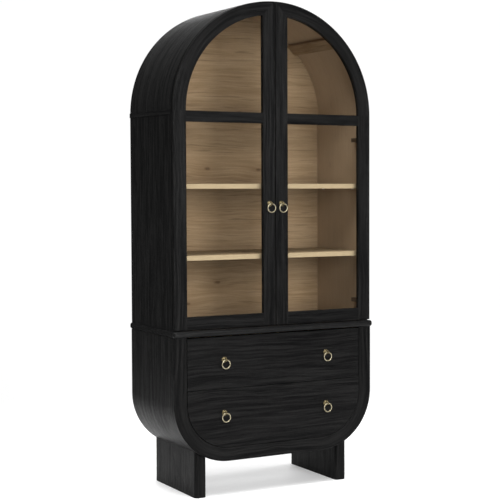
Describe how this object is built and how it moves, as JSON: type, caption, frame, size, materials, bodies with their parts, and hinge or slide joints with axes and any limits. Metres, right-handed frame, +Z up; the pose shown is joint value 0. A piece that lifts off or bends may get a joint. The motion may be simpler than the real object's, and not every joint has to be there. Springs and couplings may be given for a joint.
{
  "type": "curio cabinet",
  "caption": "Tall arched display cabinet with paired glass doors over shelves, two drawers in a rounded base, slab legs and ring pulls.",
  "frame": {"origin": "on the floor, under the middle of the whole cabinet's box", "axes": "+X to the right as seen from the front, +Y from the front to the back, +Z up"},
  "size_m": [0.886, 0.4465, 1.932],
  "materials": {
    "black_ash": "satin stained veneer",
    "natural_oak": "satin knotty veneer",
    "drawer_birch": "clear matt lacquer",
    "clear_glass": "polished",
    "aged_brass": "aged satin",
    "nickel_steel": "satin plated"
  },
  "bodies": {
    "cabinet": {"arch_battens": "natural_oak", "arch_joint_strips": "black_ash", "arch_shell": "black_ash", "hinge_arms_and_plates": "nickel_steel", "left_leg": "black_ash", "left_upper_side_panel": "black_ash", "lower_back_panel": "drawer_birch", "lower_case_runners": "nickel_steel", "lower_case_shell": "black_ash", "lower_face_frame": "black_ash", "lower_shelf": "natural_oak", "right_leg": "black_ash", "right_upper_side_panel": "black_ash", "runner_cleats": "drawer_birch", "shelf_pins": "nickel_steel", "upper_back_panel": "natural_oak", "upper_case_runners": "nickel_steel", "upper_shelf": "natural_oak", "waist_board": "black_ash"},
    "left_hinge_link_set": {"left_hinge_links": "nickel_steel"},
    "left_door": {"left_door_arch_rail": "black_ash", "left_door_bottom_rail": "black_ash", "left_door_centre_stile": "black_ash", "left_door_glazing_beads": "black_ash", "left_door_lower_glass": "clear_glass", "left_door_middle_rail": "black_ash", "left_door_outer_stile": "black_ash", "left_door_pull_post": "aged_brass", "left_door_upper_glass": "clear_glass", "left_hinge_cups": "nickel_steel"},
    "left_door_ring": {"left_door_pull_ring": "aged_brass"},
    "right_hinge_link_set": {"right_hinge_links": "nickel_steel"},
    "right_door": {"right_door_arch_rail": "black_ash", "right_door_bottom_rail": "black_ash", "right_door_centre_stile": "black_ash", "right_door_glazing_beads": "black_ash", "right_door_lower_glass": "clear_glass", "right_door_middle_rail": "black_ash", "right_door_outer_stile": "black_ash", "right_door_pull_post": "aged_brass", "right_door_upper_glass": "clear_glass", "right_hinge_cups": "nickel_steel"},
    "right_door_ring": {"right_door_pull_ring": "aged_brass"},
    "upper_drawer": {"upper_drawer_back": "drawer_birch", "upper_drawer_floor": "drawer_birch", "upper_drawer_front": "black_ash", "upper_drawer_pull_posts": "aged_brass", "upper_drawer_runners": "nickel_steel", "upper_drawer_sides": "drawer_birch"},
    "upper_left_ring": {"upper_drawer_left_ring": "aged_brass"},
    "upper_right_ring": {"upper_drawer_right_ring": "aged_brass"},
    "lower_drawer": {"lower_drawer_back": "drawer_birch", "lower_drawer_floor": "drawer_birch", "lower_drawer_front": "black_ash", "lower_drawer_pull_posts": "aged_brass", "lower_drawer_runners": "nickel_steel", "lower_drawer_sides": "drawer_birch"},
    "lower_left_ring": {"lower_drawer_left_ring": "aged_brass"},
    "lower_right_ring": {"lower_drawer_right_ring": "aged_brass"}
  },
  "joints": [
    {"name": "left_hinge_link_swing", "type": "hinge", "parent": "cabinet", "child": "left_hinge_link_set", "pos_m": [-0.401, -0.17675, 0.738], "axis": [0, 0, 1], "range_deg": [0, 31.72]},
    {"name": "left_door_swing", "type": "hinge", "parent": "left_hinge_link_set", "child": "left_door", "pos_m": [-0.425, -0.18475, 0.738], "axis": [0, 0, -1], "range_deg": [0, 126.67]},
    {"name": "left_door_ring_swing", "type": "hinge", "parent": "left_door", "child": "left_door_ring", "pos_m": [-0.026, -0.21725, 1.14], "axis": [-1, 0, 0], "range_deg": [-18, 110]},
    {"name": "right_hinge_link_swing", "type": "hinge", "parent": "cabinet", "child": "right_hinge_link_set", "pos_m": [0.401, -0.17675, 0.738], "axis": [0, 0, -1], "range_deg": [0, 31.72]},
    {"name": "right_door_swing", "type": "hinge", "parent": "right_hinge_link_set", "child": "right_door", "pos_m": [0.425, -0.18475, 0.738], "axis": [0, 0, 1], "range_deg": [0, 126.67]},
    {"name": "right_door_ring_swing", "type": "hinge", "parent": "right_door", "child": "right_door_ring", "pos_m": [0.026, -0.21725, 1.14], "axis": [-1, 0, 0], "range_deg": [-18, 110]},
    {"name": "upper_drawer_slide", "type": "slide", "parent": "cabinet", "child": "upper_drawer", "axis": [0, -1, 0], "range_m": [0, 0.3]},
    {"name": "upper_left_ring_swing", "type": "hinge", "parent": "upper_drawer", "child": "upper_left_ring", "pos_m": [-0.227, -0.21725, 0.5375], "axis": [-1, 0, 0], "range_deg": [-18, 110]},
    {"name": "upper_right_ring_swing", "type": "hinge", "parent": "upper_drawer", "child": "upper_right_ring", "pos_m": [0.227, -0.21725, 0.5375], "axis": [-1, 0, 0], "range_deg": [-18, 110]},
    {"name": "lower_drawer_slide", "type": "slide", "parent": "cabinet", "child": "lower_drawer", "axis": [0, -1, 0], "range_m": [0, 0.3]},
    {"name": "lower_left_ring_swing", "type": "hinge", "parent": "lower_drawer", "child": "lower_left_ring", "pos_m": [-0.227, -0.21725, 0.33], "axis": [-1, 0, 0], "range_deg": [-18, 110]},
    {"name": "lower_right_ring_swing", "type": "hinge", "parent": "lower_drawer", "child": "lower_right_ring", "pos_m": [0.227, -0.21725, 0.33], "axis": [-1, 0, 0], "range_deg": [-18, 110]}
  ],
  "couplings": [
    {"joint": "left_hinge_link_swing", "follows": "left_door_swing", "ratio": 0.25},
    {"joint": "right_hinge_link_swing", "follows": "right_door_swing", "ratio": 0.25}
  ]
}
